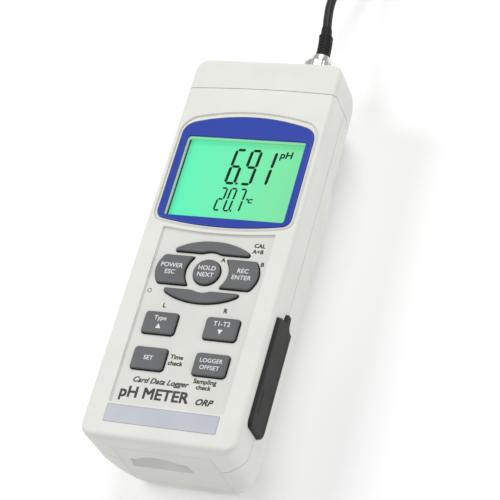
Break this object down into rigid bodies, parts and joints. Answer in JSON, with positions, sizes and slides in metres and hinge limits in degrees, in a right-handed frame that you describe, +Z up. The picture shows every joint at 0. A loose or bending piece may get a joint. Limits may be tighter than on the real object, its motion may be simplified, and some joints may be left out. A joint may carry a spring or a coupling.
{
  "type": "ph meter",
  "caption": "Hand-held data-logging pH meter with backlit display, keypad, side port flap, memory card, tilt stand, and a cabled pH electrode.",
  "frame": {"origin": "centre of the meter's footprint as it lies on its back, without the cable, plug and electrode; z = 0 is the surface it lies on", "axes": "+Z up, out of the face with the display and keys; +Y along the meter towards its socket end; +X towards the side with the rubber port flap"},
  "size_m": [0.0792, 0.412, 0.0453],
  "materials": {
    "shell": "off-white moulded ABS with a very fine grain",
    "bezel": "royal blue, glossy, printed behind a clear lens",
    "window": "clear acrylic, polished",
    "lcd": "backlit green liquid crystal panel",
    "white_plastic": "white moulded plastic",
    "key": "mid-grey satin key caps with white printed legends",
    "label": "bluish grey printed film",
    "rubber": "black matt rubber",
    "circuit_board": "green solder resist",
    "component": "black moulded plastic",
    "reset_key": "blue push cap",
    "nickel": "nickel plated brass",
    "steel": "zinc plated steel",
    "brass": "turned brass",
    "cell_wrap": "cells in a plain blue wrap; a light metal stands for their density",
    "cable_jacket": "black PVC jacket, satin",
    "electrode": "blue epoxy electrode body",
    "clear_cap": "translucent storage cap"
  },
  "bodies": {
    "case": {"front_shell": "shell", "rear_shell": "shell", "top_cap": "shell", "end_plate": "shell", "display_bezel": "bezel", "display_window": "window", "lcd_glass": "lcd", "backlight": "white_plastic", "battery_tray": "white_plastic", "label_plate": "label", "keypad_mat": "rubber", "cable_boot": "rubber", "keypad_board": "circuit_board", "main_board": "circuit_board", "lcd_frame": "component", "microcontroller": "component", "buzzer": "component", "serial_jack": "component", "power_jack": "component", "reset_switch": "component", "temperature_socket": "component", "contact_plate_lower": "nickel", "contact_plate_upper": "nickel", "probe_socket": "nickel", "probe_socket_nut": "nickel", "plug_body": "nickel", "card_socket": "steel", "case_screw_1_left": "steel", "case_screw_1_right": "steel", "case_screw_2_left": "steel", "case_screw_2_right": "steel", "tripod_nut": "brass", "battery_1": "cell_wrap", "battery_2": "cell_wrap", "battery_3": "cell_wrap", "battery_4": "cell_wrap", "battery_5": "cell_wrap", "battery_6": "cell_wrap", "cable": "cable_jacket", "cable_coil": "cable_jacket", "cable_tail": "cable_jacket", "electrode_handle": "electrode", "electrode_stem": "electrode", "electrode_cap": "clear_cap"},
    "key_power": {"key_power": "key"},
    "key_record": {"key_record": "key"},
    "key_hold": {"key_hold": "key"},
    "key_arc_upper": {"key_arc_upper": "key"},
    "key_arc_lower": {"key_arc_lower": "key"},
    "key_type": {"key_type": "key"},
    "key_channel": {"key_channel": "key"},
    "key_set": {"key_set": "key"},
    "key_logger": {"key_logger": "key"},
    "reset_button": {"reset_button": "reset_key"},
    "port_flap": {"port_flap": "rubber"},
    "memory_card": {"memory_card": "component"},
    "battery_cover": {"battery_cover": "shell", "stand_pin": "steel"},
    "stand": {"stand": "shell"},
    "plug_sleeve": {"plug_sleeve": "nickel"}
  },
  "joints": [
    {"name": "key_power_press", "type": "slide", "parent": "case", "child": "key_power", "axis": [0, 0, -1], "range_m": [0, 0.001], "stiffness_N_per_m": 600},
    {"name": "key_record_press", "type": "slide", "parent": "case", "child": "key_record", "axis": [0, 0, -1], "range_m": [0, 0.001], "stiffness_N_per_m": 600},
    {"name": "key_hold_press", "type": "slide", "parent": "case", "child": "key_hold", "axis": [0, 0, -1], "range_m": [0, 0.001], "stiffness_N_per_m": 600},
    {"name": "key_arc_upper_press", "type": "slide", "parent": "case", "child": "key_arc_upper", "axis": [0, 0, -1], "range_m": [0, 0.001], "stiffness_N_per_m": 600},
    {"name": "key_arc_lower_press", "type": "slide", "parent": "case", "child": "key_arc_lower", "axis": [0, 0, -1], "range_m": [0, 0.001], "stiffness_N_per_m": 600},
    {"name": "key_type_press", "type": "slide", "parent": "case", "child": "key_type", "axis": [0, 0, -1], "range_m": [0, 0.001], "stiffness_N_per_m": 600},
    {"name": "key_channel_press", "type": "slide", "parent": "case", "child": "key_channel", "axis": [0, 0, -1], "range_m": [0, 0.001], "stiffness_N_per_m": 600},
    {"name": "key_set_press", "type": "slide", "parent": "case", "child": "key_set", "axis": [0, 0, -1], "range_m": [0, 0.001], "stiffness_N_per_m": 600},
    {"name": "key_logger_press", "type": "slide", "parent": "case", "child": "key_logger", "axis": [0, 0, -1], "range_m": [0, 0.001], "stiffness_N_per_m": 600},
    {"name": "reset_press", "type": "slide", "parent": "case", "child": "reset_button", "axis": [-1, 0, 0], "range_m": [0, 0.0008], "stiffness_N_per_m": 500},
    {"name": "port_flap_hinge", "type": "hinge", "parent": "case", "child": "port_flap", "pos_m": [0.0332, -0.0553, 0.0263], "axis": [0, 1, 0], "range_deg": [0, 150]},
    {"name": "memory_card_slide", "type": "slide", "parent": "case", "child": "memory_card", "axis": [0, -1, 0], "range_m": [0, 0.03]},
    {"name": "battery_cover_tilt", "type": "hinge", "parent": "case", "child": "battery_cover", "pos_m": [-0.0008, -0.087, 0], "axis": [-1, 0, 0], "range_deg": [0, 45]},
    {"name": "stand_hinge", "type": "hinge", "parent": "battery_cover", "child": "stand", "pos_m": [-0.0008, 0.008, 0.00185], "axis": [1, 0, 0], "range_deg": [0, 45]},
    {"name": "plug_sleeve_turn", "type": "hinge", "parent": "case", "child": "plug_sleeve", "pos_m": [0.0125, 0.09, 0.024], "axis": [0, 1, 0], "range_deg": [-90, 0]}
  ]
}
